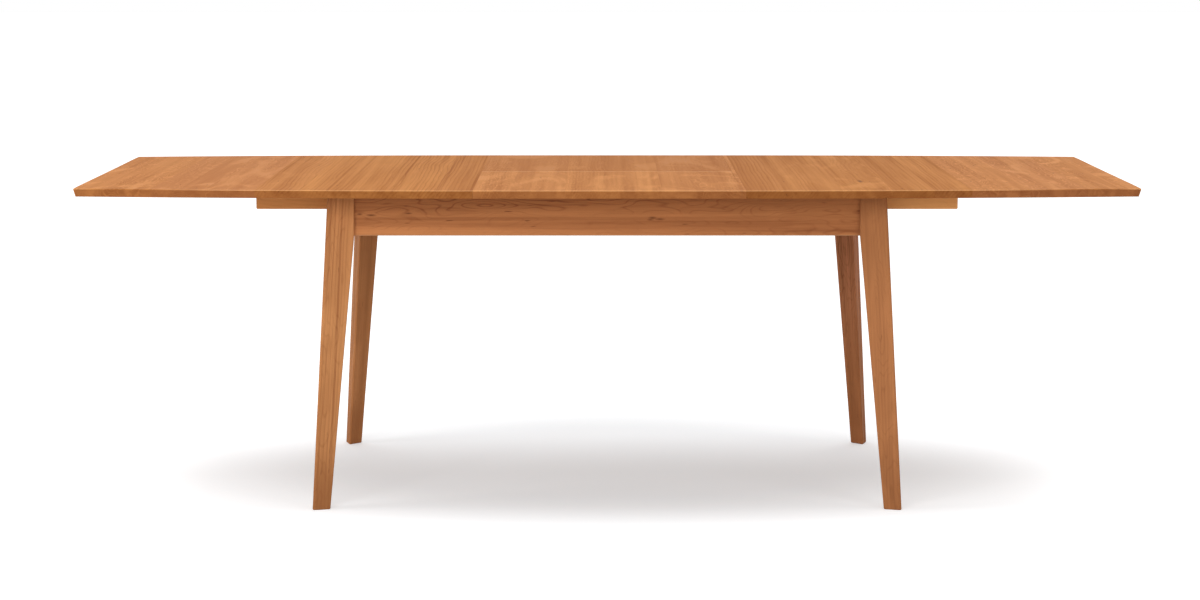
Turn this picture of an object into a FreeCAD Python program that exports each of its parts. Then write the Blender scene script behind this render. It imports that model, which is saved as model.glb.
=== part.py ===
"""Butterfly leaf table, open with its leaf raised: boat-shaped top on a fixed four-leg base.

Millimetres, +Z up. The origin is on the floor under the middle of the table, +X runs along the
length and +Y points to the rear, so "front" pieces lie at -Y and "left" pieces at -X.
"""
import FreeCAD, Part
import os
from math import cos, radians, sin, sqrt
from FreeCAD import Vector

# ---- driving dimensions: the top --------------------------------------------------------------
HEIGHT = 749.0            # floor to the top surface
TOP_THICK = 19.0          # thickness of the boards of the halves and of the leaf
HALF_LENGTH = 914.0       # each top half, along X
LEAF_LENGTH = 610.0       # the leaf, along X
WIDTH_MID = 1016.0        # width of the top at the seams
END_BOW = 51.0            # how far each long edge draws in from its seam to its end
EDGE_UNDERCUT = 5.0       # how far the outer edges slope in from the top face to the underside
ARRIS = 2.0               # eased corner along the top face, not at the seams
CORNER_ROUND = 3.0        # radius at the four corners of the top
SEAM_GAP = 0.3            # between the leaf and each half

# ---- driving dimensions: legs and aprons ------------------------------------------------------
LEG_INSET_X = 270.0       # from the end of the closed top in to the outer corner of a leg head
LEG_INSET_Y = 106.0       # from the widest line of the top in to that corner
LEG_SPLAY = 38.0          # how far the outer corner moves out, in X and in Y, down to the floor
LEG_HEAD = 60.0           # width of the square head of a leg at its top
LEG_FOOT = 40.5           # width of the foot
LEG_TURN = 18.0           # degrees each outer face of a leg turns in towards the middle
LEG_NOSE = 6.0            # radius of the outer corner of a leg
LEG_CHEEK = 3.5           # radius of its two other corners
FOOT_CHAMFER = 1.5        # eased edge around the foot
APRON_HEIGHT = 96.0
APRON_THICK = 22.0
APRON_SETBACK = 26.0      # from the outer corner of a leg in to the face of an apron
TOP_CLEARANCE = 2.0       # between the aprons and the halves that slide over them

# ---- driving dimensions: runners and steel slides ---------------------------------------------
RUNNER_HEIGHT = 41.3
RUNNER_THICK = 22.0
RUNNER_START = 25.0       # from the seam edge of a half to the end of its runners
RUNNER_LENGTH = 487.0
RAIL_HEIGHT = 45.0        # wooden rail that carries the slides' tracks
RAIL_THICK = 19.0
RAIL_END_GAP = 10.0       # from a leg head to the end of a rail and of its slides
RAIL_DROP = 1.0           # from the upper edge of an apron down to its rail
TRACK_GAP = 10.0          # between the left and the right track on a rail
CAGE_LENGTH = 300.0       # middle strip of a slide, which holds its balls
CARRIAGE_LENGTH = 240.0   # member on a runner; it never comes out past the legs
SLIDE_HEIGHT = 35.0
SLIDE_THICK = 13.0
SLIDE_SHEET = 1.5         # sheet thickness of each part of a slide
SLIDE_GAP = 0.3           # running gap between them, filled by the balls of the real slide
TRACK_LIP = 4.0           # from a runner out to the lips of the track
CAGE_LIP = 2.5            # to the lips of the cage
CAGE_WEB = 7.5            # to the back of the cage
CARRIAGE_LIP = 5.5        # to the lips of the carriage on the runner itself
NOTCH_GAP = 3.0           # clearance around a runner where it crosses an end apron
SCREWS_PER_RUNNER = 3
SCREW_HEAD_R = 4.5
SCREW_HEAD = 3.0
SCREW_FIT = 0.1           # radial clearance around a shank
SINK_FIT = 0.5            # radial clearance around a head
SCREW_SHANK_R = 2.25
SCREW_SINK = 22.0         # depth of the counterbore under a runner
SCREW_BITE = 12.0         # length of a screw in the top

# ---- driving dimensions: leaf mechanism -------------------------------------------------------
ARM_LENGTH = 120.0        # between the two pivots of an arm
ARM_LEAN = 56.0           # degrees an arm leans back with the leaf raised
ARM_SWING = 137.0         # degrees it swings forward to put the leaf away
ARM_WIDTH = 24.0
ARM_THICK = 5.0
PIVOT_DROP = 12.0         # from the underside of the leaf down to the arm pivots
FRONT_PIVOT_Y = 60.0      # front arm pivots on the raised leaf, back from the fold line
REAR_PIVOT_INSET = 37.0   # from the rear slide rail in to the rear arm pivots
BEARER_X = 285.0          # centre of each bearer, from the middle
BEARER_WIDTH = 22.0
BEARER_HEIGHT = 40.0
BEARER_LIFT = 3.0         # from the lower edge of the aprons up to the bearers
BRACKET_THICK = 3.0
BRACKET_WIDTH = 40.0
BRACKET_HEIGHT = 34.0
BRACKET_LIFT = 2.0        # from the lower edge of a bearer
BRACKET_ROUND = 5.0
PIN_R = 5.0               # base pivot pins
PIN_FIT = 0.1             # radial clearance in the arms and tubes
PIN_REACH = 26.0          # length of a base pin inside its tube
TUBE_R = 9.0
COLLAR_R = 9.0
COLLAR_THICK = 1.7
SIDE_GAP = 0.3            # running gap beside an arm
LEAF_PIN_R = 4.0
LEAF_PIN_HEAD_R = 7.0
LEAF_PIN_HEAD = 2.0
EAR_THICK = 4.0
EAR_RADIUS = 12.0
EAR_FOOT = 28.0           # plate under the leaf, along X
HINGE_PITCH = 200.0       # between the three hinges along the fold line
HINGE_CUP = (60.0, 14.0, 11.5)      # length, depth into the edge, height
HINGE_CUP_TOP = 4.5       # from the fold axis down to a cup
HINGE_WALL = 1.5
HINGE_LINK = (6.0, 4.0)   # thickness along X and height of a link
HINGE_LINK_REACH = 8.0    # past the fold line
HINGE_LINK_PITCH = 12.0
HINGE_LINK_DROP = 7.0     # from the fold axis down to the links
HINGE_LINK_ROUND = 1.8    # radius of the links' free ends
FOLD_RISE = 0.3           # fold axis above the top face
FOLD_GAP = 0.5            # between the two halves of the leaf

# ---- driving dimensions: leg fixing and pads --------------------------------------------------
BRACE_THICK = 22.0
BRACE_HEIGHT = 42.0
BRACE_LIFT = 3.0          # from the lower edge of the aprons up to the braces
BRACE_STANDOFF = 12.0     # from the leg to its brace
BOLT_R = 4.0
BOLT_FIT = 0.1
BOLT_IN_LEG = 40.0
BOLT_SPACING = 20.0
BOLT_TAIL = 12.0          # thread that stands out past the nut's seat
WASHER_R = 9.0
WASHER_THICK = 1.6
NUT_FLATS = 13.0
NUT_THICK = 6.5
PAD_R = 10.0
BUMPER_R = 8.0
PAD_GAP = 0.3             # from a pad to the leaf that it catches

# ---- levels and planes that follow ------------------------------------------------------------
UNDERSIDE = HEIGHT - TOP_THICK
BASE_TOP = UNDERSIDE - TOP_CLEARANCE
APRON_BOTTOM = BASE_TOP - APRON_HEIGHT
SEAM_X = LEAF_LENGTH / 2
END_X = SEAM_X + HALF_LENGTH
LEG_OUT_X = HALF_LENGTH - LEG_INSET_X
LEG_OUT_Y = WIDTH_MID / 2 - LEG_INSET_Y
LEG_IN_X = LEG_OUT_X - LEG_HEAD
LEG_IN_Y = LEG_OUT_Y - LEG_HEAD
APRON_OUT_Y = LEG_OUT_Y - APRON_SETBACK
APRON_IN_Y = APRON_OUT_Y - APRON_THICK
APRON_OUT_X = LEG_OUT_X - APRON_SETBACK
APRON_IN_X = APRON_OUT_X - APRON_THICK
RAIL_IN_Y = APRON_IN_Y - RAIL_THICK
RUNNER_OUT_Y = RAIL_IN_Y - SLIDE_THICK
RUNNER_IN_Y = RUNNER_OUT_Y - RUNNER_THICK
RUNNER_BOTTOM = UNDERSIDE - RUNNER_HEIGHT
RUNNER_NEAR_X = SEAM_X + RUNNER_START
RUNNER_FAR_X = RUNNER_NEAR_X + RUNNER_LENGTH
RAIL_TOP = BASE_TOP - RAIL_DROP
SLIDE_MID_Z = RAIL_TOP - SLIDE_HEIGHT / 2
RAIL_END_X = LEG_IN_X - RAIL_END_GAP
BEARER_BOTTOM = APRON_BOTTOM + BEARER_LIFT
BEARER_TOP = BEARER_BOTTOM + BEARER_HEIGHT
BRACE_BOTTOM = APRON_BOTTOM + BRACE_LIFT
BEARER_IN_X = BEARER_X - BEARER_WIDTH / 2
ARM_OUT_X = BEARER_IN_X - BRACKET_THICK - COLLAR_THICK - SIDE_GAP
ARM_IN_X = ARM_OUT_X - ARM_THICK
EAR_OUT_X = ARM_IN_X - SIDE_GAP
EAR_IN_X = EAR_OUT_X - EAR_THICK
LEAF_PIVOT_Z = UNDERSIDE - PIVOT_DROP
BASE_PIVOT_Z = LEAF_PIVOT_Z - ARM_LENGTH * cos(radians(ARM_LEAN))
ARM_BACK = ARM_LENGTH * sin(radians(ARM_LEAN))
LEAF_DROP = ARM_LENGTH * (cos(radians(ARM_LEAN)) - cos(radians(ARM_SWING - ARM_LEAN)))
FOLD_AXIS_Z = HEIGHT + FOLD_RISE
RUNNER_MID_Y = (RUNNER_IN_Y + RUNNER_OUT_Y) / 2
SCREW_SEAT = RUNNER_BOTTOM + SCREW_SINK
REAR_PIVOT_Y = RAIL_IN_Y - REAR_PIVOT_INSET
HINGE_XS = (-HINGE_PITCH, 0, HINGE_PITCH)
ORIGIN = Vector(0, 0, 0)
ACROSS_X = Vector(1, 0, 0)
ACROSS_Y = Vector(0, 1, 0)
NEAR = 0.01               # a point this close to a plane lies on it
PAST = 1.0                # how far a cutter runs past the face it opens


def block(x0, x1, y0, y1, z0, z1):
    """A box between two corners, given in any order."""
    low = Vector(min(x0, x1), min(y0, y1), min(z0, z1))
    return Part.makeBox(abs(x1 - x0), abs(y1 - y0), abs(z1 - z0), low)


def prism(outline, z0, z1):
    """A polygon in plan, pulled up from z0 to z1."""
    points = [Vector(x, y, z0) for x, y in outline]
    face = Part.Face(Part.makePolygon(points + points[:1]))
    return face.extrude(Vector(0, 0, z1 - z0))


def rod(radius, start, end):
    """A round bar between two points."""
    along = end - start
    return Part.makeCylinder(radius, along.Length, start, along)


def side(shape, sx, sy=1):
    """The same shape on the left (sx -1) or at the front (sy -1)."""
    if sx < 0:
        shape = shape.mirror(ORIGIN, ACROSS_X)
    if sy < 0:
        shape = shape.mirror(ORIGIN, ACROSS_Y)
    return shape


def edges_at(shape, test):
    """The edges whose two ends both pass the test."""
    return [e for e in shape.Edges
            if len(e.Vertexes) == 2 and all(test(v.Point) for v in e.Vertexes)]


def span(edge, axis):
    """How far an edge runs along x, y or z."""
    start, end = (getattr(v.Point, axis) for v in edge.Vertexes)
    return abs(start - end)


def corners():
    return [(sx, sy) for sx in (-1, 1) for sy in (-1, 1)]


def save(node, *solids):
    """One file per node; like pieces of a node stay separate solids."""
    shape = solids[0] if len(solids) == 1 else Part.makeCompound(list(solids))
    shape.exportStep("parts/" + node + ".step")


# ---- top halves and leaf ----------------------------------------------------------------------

def half_width(x, inset):
    """Half the width of a top half at x: an arc that leaves the leaf's straight edge smoothly."""
    radius = (HALF_LENGTH ** 2 + END_BOW ** 2) / (2 * END_BOW)
    return WIDTH_MID / 2 - radius + sqrt((radius - inset) ** 2 - (x - SEAM_X) ** 2)


def half_outline(inset, z):
    """Outline of the right half, drawn in by inset along its three outer edges."""
    far = END_X - inset
    mid = (SEAM_X + far) / 2

    def at(x, sign):
        return Vector(x, sign * half_width(x, inset), z)
    edges = [
        Part.Arc(at(SEAM_X, -1), at(mid, -1), at(far, -1)).toShape(),
        Part.makeLine(at(far, -1), at(far, 1)),
        Part.Arc(at(far, 1), at(mid, 1), at(SEAM_X, 1)).toShape(),
        Part.makeLine(at(SEAM_X, 1), at(SEAM_X, -1)),
    ]
    return Part.Wire(edges)


def top_half(sx):
    lower = half_outline(EDGE_UNDERCUT, UNDERSIDE)
    upper = half_outline(0, HEIGHT)
    board = Part.makeLoft([lower, upper], True, True)
    near_end = END_X - 2 * EDGE_UNDERCUT
    upright = [e for e in edges_at(board, lambda p: p.x > near_end) if span(e, "z") > TOP_THICK / 2]
    board = board.makeFillet(CORNER_ROUND, upright)
    rim = edges_at(board, lambda p: p.z > HEIGHT - NEAR)
    seam = edges_at(board, lambda p: p.x < SEAM_X + NEAR)
    board = board.makeChamfer(ARRIS, [e for e in rim if not any(e.isSame(s) for s in seam)])
    return side(board, sx)


def leaf_half(sy):
    """The rear half of the leaf, or the front one, with the pockets for its hinge cups."""
    x = SEAM_X - SEAM_GAP
    y = WIDTH_MID / 2
    section = [
        Vector(-x, FOLD_GAP / 2, UNDERSIDE),
        Vector(-x, y - EDGE_UNDERCUT, UNDERSIDE),
        Vector(-x, y, HEIGHT),
        Vector(-x, FOLD_GAP / 2, HEIGHT),
    ]
    board = Part.Face(Part.makePolygon(section + section[:1])).extrude(Vector(2 * x, 0, 0))
    along = [e for e in edges_at(board, lambda p: p.z > HEIGHT - NEAR) if span(e, "x") > x]
    board = board.makeChamfer(ARRIS, along)
    for hinge_x in HINGE_XS:
        board = board.cut(cup_block(hinge_x))
    return side(board, 1, sy)


# ---- concealed hinges of the leaf -------------------------------------------------------------

def cup_block(hinge_x):
    length, depth, height = HINGE_CUP
    top = FOLD_AXIS_Z - HINGE_CUP_TOP
    return block(hinge_x - length / 2, hinge_x + length / 2, FOLD_GAP / 2, FOLD_GAP / 2 + depth,
                 top - height, top)


def hinge_cups(sy):
    """Brass cups let into the edge of one half, open towards the fold line."""
    length, depth, height = HINGE_CUP
    top = FOLD_AXIS_Z - HINGE_CUP_TOP
    w = HINGE_WALL
    cups = []
    for hinge_x in HINGE_XS:
        hollow = block(hinge_x - length / 2 + w, hinge_x + length / 2 - w,
                       -PAST, FOLD_GAP / 2 + depth - w, top - height + w, top - w)
        cups.append(side(cup_block(hinge_x).cut(hollow), 1, sy))
    return cups


def hinge_links():
    """Link plates of the hinges, held in the front cups and reaching into the rear ones."""
    thick, height = HINGE_LINK
    back = FOLD_GAP / 2 + HINGE_CUP[1] - HINGE_WALL
    top = FOLD_AXIS_Z - HINGE_LINK_DROP
    links = []
    for hinge_x in HINGE_XS:
        for step in (-1, 0, 1):
            x = hinge_x + step * HINGE_LINK_PITCH
            plate = block(x - thick / 2, x + thick / 2, -back, HINGE_LINK_REACH, top - height, top)
            nose = [e for e in edges_at(plate, lambda p: p.y > 0) if span(e, "x") > thick / 2]
            links.append(plate.makeFillet(HINGE_LINK_ROUND, nose))
    return links


# ---- legs -------------------------------------------------------------------------------------

def leg_corner(z):
    """Outer corner of the rear right leg at height z."""
    out = LEG_SPLAY * (UNDERSIDE - z) / UNDERSIDE
    return LEG_OUT_X + out, LEG_OUT_Y + out


def leg_section(z, width):
    """Rounded triangle: one nose at the table's corner, two cheeks, a flat face to the middle."""
    corner_x, corner_y = leg_corner(z)
    turn = radians(LEG_TURN)
    run = LEG_NOSE + LEG_CHEEK - width
    fall = (LEG_NOSE - LEG_CHEEK + run * sin(turn)) / cos(turn)
    nose = (corner_x - LEG_NOSE, corner_y - LEG_NOSE)
    cheek_in_x = (nose[0] + run, nose[1] + fall)
    cheek_in_y = (nose[0] + fall, nose[1] + run)

    def on(centre, radius, degrees):
        angle = radians(degrees)
        return Vector(centre[0] + radius * cos(angle), centre[1] + radius * sin(angle), z)

    arcs = []
    for centre, radius, start, end in (
            (nose, LEG_NOSE, -LEG_TURN, 90 + LEG_TURN),
            (cheek_in_x, LEG_CHEEK, 90 + LEG_TURN, 225),
            (cheek_in_y, LEG_CHEEK, 225, 360 - LEG_TURN)):
        arcs.append([on(centre, radius, a) for a in (start, (start + end) / 2, end)])
    edges = []
    for i, ends in enumerate(arcs):
        edges.append(Part.Arc(*ends).toShape())
        edges.append(Part.makeLine(ends[2], arcs[(i + 1) % 3][0]))
    return Part.Wire(edges)


def head_bevel():
    """How far the bevel on the inner corner of a leg head runs along each face."""
    return leg_corner(BASE_TOP)[1] - APRON_SETBACK - APRON_THICK - LEG_IN_Y


def leg_head():
    """Square inner part of the head, where the two aprons butt and the bolts enter."""
    bevel = head_bevel()
    outline = [
        (LEG_IN_X, LEG_IN_Y + bevel), (LEG_IN_X, APRON_OUT_Y),
        (APRON_OUT_X, APRON_OUT_Y), (APRON_OUT_X, LEG_IN_Y),
        (LEG_IN_X + bevel, LEG_IN_Y),
    ]
    return prism(outline, APRON_BOTTOM, BASE_TOP)


def bolt_levels():
    mid = BRACE_BOTTOM + BRACE_HEIGHT / 2
    return (mid - BOLT_SPACING / 2, mid + BOLT_SPACING / 2)


def diagonal(distance, z):
    """A point on the diagonal through the inner corner of the aprons; minus runs into the leg."""
    d = distance / sqrt(2)
    return Vector(APRON_IN_X - d, APRON_IN_Y - d, z)


def leg_face():
    """Distance along the diagonal from the aprons' inner corner to the bevel of the leg head."""
    return (APRON_IN_X - LEG_IN_X + APRON_IN_Y - LEG_IN_Y - head_bevel()) / sqrt(2)


def leg(sx, sy):
    head_width = leg_corner(APRON_BOTTOM)[0] - LEG_IN_X
    top_width = leg_corner(BASE_TOP)[0] - LEG_IN_X
    foot = leg_section(0, LEG_FOOT)
    knee = leg_section(APRON_BOTTOM, head_width)
    crown = leg_section(BASE_TOP, top_width)
    shape = Part.makeLoft([foot, knee], True, True)
    upper = Part.makeLoft([knee, crown], True, True)
    shape = shape.fuse([upper, leg_head()]).removeSplitter()
    shape = shape.makeChamfer(FOOT_CHAMFER, edges_at(shape, lambda p: p.z < NEAR))
    for z in bolt_levels():
        shape = shape.cut(rod(BOLT_R + BOLT_FIT, diagonal(leg_face() + PAST, z),
                              diagonal(leg_face() - BOLT_IN_LEG, z)))
    return side(shape, sx, sy)


# ---- aprons, braces and bolts -----------------------------------------------------------------

def long_apron(sy):
    board = block(-LEG_IN_X, LEG_IN_X, APRON_IN_Y, APRON_OUT_Y, APRON_BOTTOM, BASE_TOP)
    lower = edges_at(board, lambda p: p.z < APRON_BOTTOM + NEAR and p.y > APRON_OUT_Y - NEAR)
    return side(board.makeChamfer(ARRIS, lower), 1, sy)


def end_apron(sx):
    """End apron, lowered at both ends where the runners and slides pass over it."""
    board = block(APRON_IN_X, APRON_OUT_X, -LEG_IN_Y, LEG_IN_Y, APRON_BOTTOM, BASE_TOP)
    lower = edges_at(board, lambda p: p.z < APRON_BOTTOM + NEAR and p.x > APRON_OUT_X - NEAR)
    board = board.makeChamfer(ARRIS, lower)
    for sy in (-1, 1):
        board = board.cut(block(APRON_IN_X - PAST, APRON_OUT_X + PAST,
                                sy * (RUNNER_IN_Y - NOTCH_GAP), sy * (LEG_IN_Y + PAST),
                                RUNNER_BOTTOM - NOTCH_GAP, BASE_TOP + PAST))
    return side(board, sx)


def brace_faces():
    """Distances along the diagonal of the two faces of a corner brace."""
    outer = leg_face() + BRACE_STANDOFF
    return outer, outer + BRACE_THICK


def corner_brace(sx, sy):
    near, far = (d * sqrt(2) for d in brace_faces())
    outline = [
        (APRON_IN_X - near, APRON_IN_Y), (APRON_IN_X - far, APRON_IN_Y),
        (APRON_IN_X, APRON_IN_Y - far), (APRON_IN_X, APRON_IN_Y - near),
    ]
    shape = prism(outline, BRACE_BOTTOM, BRACE_BOTTOM + BRACE_HEIGHT)
    through = brace_faces()[1] + PAST
    for z in bolt_levels():
        shape = shape.cut(rod(BOLT_R + BOLT_FIT, diagonal(0, z), diagonal(through, z)))
    return side(shape, sx, sy)


def leg_bolts():
    bolts = []
    head = leg_face() - BOLT_IN_LEG
    tail = brace_faces()[1] + WASHER_THICK + BOLT_TAIL
    for sx, sy in corners():
        for z in bolt_levels():
            bolts.append(side(rod(BOLT_R, diagonal(head, z), diagonal(tail, z)), sx, sy))
    return bolts


def leg_washers():
    washers = []
    seat = brace_faces()[1]
    for sx, sy in corners():
        for z in bolt_levels():
            ends = (diagonal(seat, z), diagonal(seat + WASHER_THICK, z))
            ring = rod(WASHER_R, *ends).cut(rod(BOLT_R + BOLT_FIT, *ends))
            washers.append(side(ring, sx, sy))
    return washers


def leg_nuts():
    nuts = []
    seat = brace_faces()[1] + WASHER_THICK
    arm = Vector(0, 0, NUT_FLATS / sqrt(3))
    for sx, sy in corners():
        for z in bolt_levels():
            start = diagonal(seat, z)
            end = diagonal(seat + NUT_THICK, z)
            turns = [FreeCAD.Rotation(end - start, angle) for angle in range(0, 360, 60)]
            points = [start + turn.multVec(arm) for turn in turns]
            hexagon = Part.Face(Part.makePolygon(points + points[:1])).extrude(end - start)
            nuts.append(side(hexagon.cut(rod(BOLT_R + BOLT_FIT, start, end)), sx, sy))
    return nuts


# ---- runners and slides -----------------------------------------------------------------------

def screw_xs():
    gap = RUNNER_LENGTH / SCREWS_PER_RUNNER
    return [RUNNER_NEAR_X + gap * (i + 0.5) for i in range(SCREWS_PER_RUNNER)]


def runner(sx, sy):
    """Wooden bar under a half; it carries the half and slides with it."""
    bar = block(RUNNER_NEAR_X, RUNNER_FAR_X, RUNNER_IN_Y, RUNNER_OUT_Y, RUNNER_BOTTOM, UNDERSIDE)
    lower = edges_at(bar, lambda p: p.z < RUNNER_BOTTOM + NEAR)
    bar = bar.makeChamfer(ARRIS, [e for e in lower if span(e, "y") > RUNNER_THICK / 2])
    for x in screw_xs():
        seat = Vector(x, RUNNER_MID_Y, SCREW_SEAT)
        mouth = Vector(x, RUNNER_MID_Y, RUNNER_BOTTOM - PAST)
        top = Vector(x, RUNNER_MID_Y, UNDERSIDE + PAST)
        bar = bar.cut(rod(SCREW_HEAD_R + SINK_FIT, mouth, seat))
        bar = bar.cut(rod(SCREW_SHANK_R + SCREW_FIT, mouth, top))
    return side(bar, sx, sy)


def runner_screws(sx):
    """Screws that hold both runners of one half; the bite is in the top's own holes."""
    screws = []
    for sy in (-1, 1):
        for x in screw_xs():
            seat = Vector(x, RUNNER_MID_Y, SCREW_SEAT)
            tip = Vector(x, RUNNER_MID_Y, UNDERSIDE + SCREW_BITE)
            head = rod(SCREW_HEAD_R, seat - Vector(0, 0, SCREW_HEAD), seat)
            screws.append(side(head.fuse(rod(SCREW_SHANK_R, seat, tip)), sx, sy))
    return screws


def with_screw_holes(board, sx):
    for sy in (-1, 1):
        for x in screw_xs():
            hole = rod(SCREW_SHANK_R + SCREW_FIT, Vector(x, RUNNER_MID_Y, UNDERSIDE - PAST),
                       Vector(x, RUNNER_MID_Y, UNDERSIDE + SCREW_BITE))
            board = board.cut(side(hole, sx, sy))
    return board


def slide_rail(sy):
    """Wooden rail on the inner face of a long apron; the tracks of the slides screw to it."""
    return side(block(-RAIL_END_X, RAIL_END_X, RAIL_IN_Y, APRON_IN_Y,
                      RAIL_TOP - RAIL_HEIGHT, RAIL_TOP), 1, sy)


def channel(x0, x1, web_y, lip_y, half_height):
    """A C-shaped length of folded sheet: a web and two lips."""
    t = SLIDE_SHEET if lip_y > web_y else -SLIDE_SHEET
    z = SLIDE_MID_Z
    outer = block(x0, x1, web_y, lip_y, z - half_height, z + half_height)
    hollow = block(x0 - PAST, x1 + PAST, web_y + t, lip_y + t, z - half_height + SLIDE_SHEET,
                   z + half_height - SLIDE_SHEET)
    return outer.cut(hollow)


def slide_parts(which, sx):
    """Both tracks, ball cages or carriages on one side; they end together, the table open."""
    length, web, lip, inner = {
        "fixed": (RAIL_END_X - TRACK_GAP / 2, SLIDE_THICK, TRACK_LIP, 0),
        "middle": (CAGE_LENGTH, CAGE_WEB, CAGE_LIP, 1),
        "moving": (CARRIAGE_LENGTH, 0, CARRIAGE_LIP, 2),
    }[which]
    half = SLIDE_HEIGHT / 2 - inner * (SLIDE_SHEET + SLIDE_GAP)
    part = channel(RAIL_END_X - length, RAIL_END_X, RUNNER_OUT_Y + web, RUNNER_OUT_Y + lip, half)
    return [side(part, sx, sy) for sy in (-1, 1)]


# ---- bearers, arms and pivots -----------------------------------------------------------------

def leaf_bearer(sx):
    """Cross rail between the long aprons, near the seam, for the pivots and the stored leaf."""
    return side(block(BEARER_IN_X, BEARER_IN_X + BEARER_WIDTH, -APRON_IN_Y, APRON_IN_Y,
                      BEARER_BOTTOM, BEARER_TOP), sx)


def pivot_ys():
    """Leaf pivots of the front and of the rear arms, with the leaf raised."""
    return (FRONT_PIVOT_Y, REAR_PIVOT_Y)


def pivot_brackets():
    """Steel plates screwed to the inner faces of the bearers."""
    plates = []
    low = BEARER_BOTTOM + BRACKET_LIFT
    for sx in (-1, 1):
        for y in pivot_ys():
            mid = y - ARM_BACK
            plate = block(BEARER_IN_X - BRACKET_THICK, BEARER_IN_X, mid - BRACKET_WIDTH / 2,
                          mid + BRACKET_WIDTH / 2, low, low + BRACKET_HEIGHT)
            level = [e for e in plate.Edges if span(e, "x") > BRACKET_THICK / 2]
            plates.append(side(plate.makeFillet(BRACKET_ROUND, level), sx))
    return plates


def pivot_pins():
    """Base pivot pins with their collars, riveted to the bracket plates."""
    pins = []
    for sx in (-1, 1):
        for y in pivot_ys():
            root = Vector(BEARER_IN_X - BRACKET_THICK, y - ARM_BACK, BASE_PIVOT_Z)
            tip = Vector(ARM_IN_X - PIN_REACH, root.y, root.z)
            collar = rod(COLLAR_R, root, root - ACROSS_X * COLLAR_THICK)
            pins.append(side(rod(PIN_R, root, tip).fuse(collar), sx))
    return pins


def swing_tube(leaf_y):
    """Torsion tube that ties the left and right arms of a pair."""
    y = leaf_y - ARM_BACK
    ends = (Vector(-ARM_IN_X, y, BASE_PIVOT_Z), Vector(ARM_IN_X, y, BASE_PIVOT_Z))
    return rod(TUBE_R, *ends).cut(rod(PIN_R + PIN_FIT, *ends))


def swing_arms(leaf_y):
    """Flat steel arms, rounded at both pivots and welded to the ends of the tube."""
    low = Vector(ARM_IN_X, leaf_y - ARM_BACK, BASE_PIVOT_Z)
    high = Vector(ARM_IN_X, leaf_y, LEAF_PIVOT_Z)
    through = ACROSS_X * ARM_THICK
    across = (high - low).cross(ACROSS_X).normalize() * (ARM_WIDTH / 2)
    outline = [low + across, high + across, high - across, low - across, low + across]
    bar = Part.Face(Part.makePolygon(outline)).extrude(through)
    bar = bar.fuse([rod(ARM_WIDTH / 2, end, end + through) for end in (low, high)]).removeSplitter()
    bar = bar.cut(rod(PIN_R + PIN_FIT, low, low + through))
    bar = bar.cut(rod(LEAF_PIN_R + PIN_FIT, high, high + through))
    return [side(bar, sx) for sx in (-1, 1)]


def leaf_brackets():
    """Angle brackets under the rear half of the leaf: a screwed foot and a rounded ear."""
    brackets = []
    for sx in (-1, 1):
        for y in pivot_ys():
            ends = (Vector(EAR_IN_X, y, LEAF_PIVOT_Z), Vector(EAR_OUT_X, y, LEAF_PIVOT_Z))
            foot = block(EAR_OUT_X - EAR_FOOT, EAR_OUT_X, y - EAR_RADIUS, y + EAR_RADIUS,
                         UNDERSIDE - BRACKET_THICK, UNDERSIDE)
            ear = block(EAR_IN_X, EAR_OUT_X, y - EAR_RADIUS, y + EAR_RADIUS, LEAF_PIVOT_Z, UNDERSIDE)
            shape = foot.fuse([ear, rod(EAR_RADIUS, *ends)]).removeSplitter()
            brackets.append(side(shape.cut(rod(LEAF_PIN_R + PIN_FIT, *ends)), sx))
    return brackets


def leaf_pins():
    """Rivets through the ears and the arms, with a head on each side."""
    pins = []
    for sx in (-1, 1):
        for y in pivot_ys():
            inner = Vector(EAR_IN_X, y, LEAF_PIVOT_Z)
            outer = Vector(ARM_OUT_X + SIDE_GAP, y, LEAF_PIVOT_Z)
            heads = [rod(LEAF_PIN_HEAD_R, inner, inner - ACROSS_X * LEAF_PIN_HEAD),
                     rod(LEAF_PIN_HEAD_R, outer, outer + ACROSS_X * LEAF_PIN_HEAD)]
            pins.append(side(rod(LEAF_PIN_R, inner, outer).fuse(heads).removeSplitter(), sx))
    return pins


# ---- pads -------------------------------------------------------------------------------------

def leaf_pads():
    """Felt pads on the long aprons, under the raised leaf."""
    pads = []
    y = (APRON_IN_Y + APRON_OUT_Y) / 2
    for sx, sy in corners():
        x = sx * SEAM_X * 2 / 3
        pads.append(rod(PAD_R, Vector(x, sy * y, BASE_TOP), Vector(x, sy * y, UNDERSIDE - PAD_GAP)))
    return pads


def stored_leaf_bumpers():
    """Rubber bumpers on the bearers, under the folded leaf when it is put away."""
    bumpers = []
    top = UNDERSIDE - LEAF_DROP - PAD_GAP
    for sx in (-1, 1):
        for y in (FRONT_PIVOT_Y - 2 * ARM_BACK, REAR_PIVOT_Y - ARM_BACK / 2):
            foot = Vector(sx * BEARER_X, y, BEARER_TOP)
            bumpers.append(rod(BUMPER_R, foot, Vector(foot.x, foot.y, top)))
    return bumpers


# ---- the table --------------------------------------------------------------------------------

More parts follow.
